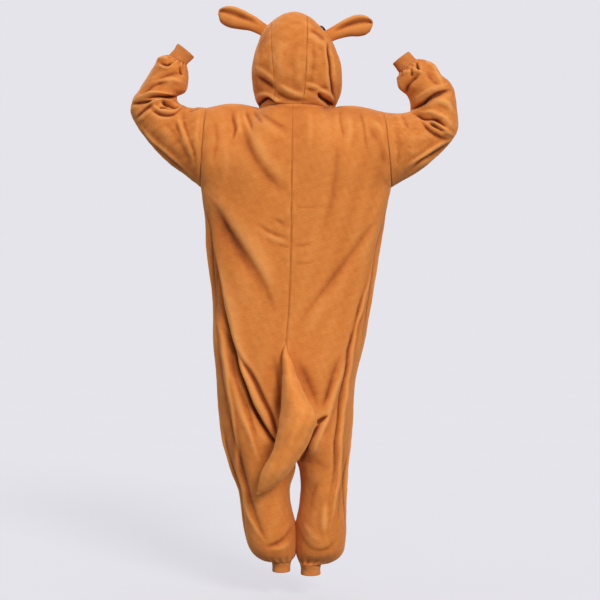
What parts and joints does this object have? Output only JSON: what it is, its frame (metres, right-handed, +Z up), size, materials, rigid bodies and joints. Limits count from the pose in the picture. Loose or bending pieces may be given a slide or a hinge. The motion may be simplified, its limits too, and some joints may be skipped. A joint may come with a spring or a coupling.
{
  "type": "kangaroo onesie",
  "caption": "Loose one-piece fleece suit with a hood that has two leaf-shaped ears, rib cuffs, a buttoned front and a stuffed tail, held in its worn shape with both arms raised.",
  "frame": {"origin": "middle of the neck seam's ring, level with the shoulder seams, where the wearer's shoulders hold the garment up", "axes": "+Z up, the front faces -Y and the back with the tail faces +Y, +X is the wearer's left"},
  "size_m": [0.9426, 0.3985, 1.6342],
  "materials": {
    "fleece": "caramel orange polar fleece, matt with a soft nap",
    "rib_knit": "rib knit of the cuffs, the same colour as the fleece",
    "button_plastic": "brown moulded buttons",
    "eye_plastic": "glossy black"
  },
  "bodies": {
    "root": {"back_left": "fleece", "back_right": "fleece", "front_left": "fleece", "front_right": "fleece", "sleeve_left": "fleece", "sleeve_right": "fleece", "wrist_cuff_left": "rib_knit", "wrist_cuff_right": "rib_knit", "ankle_cuff_left": "rib_knit", "ankle_cuff_right": "rib_knit", "hood_left": "fleece", "hood_centre": "fleece", "hood_right": "fleece", "ear_left": "fleece", "ear_right": "fleece", "eye_left": "eye_plastic", "eye_right": "eye_plastic", "tail": "fleece", "placket": "fleece", "button_1": "button_plastic", "button_2": "button_plastic", "button_3": "button_plastic", "button_4": "button_plastic", "button_5": "button_plastic", "button_6": "button_plastic", "button_7": "button_plastic", "button_8": "button_plastic"}
  },
  "joints": []
}
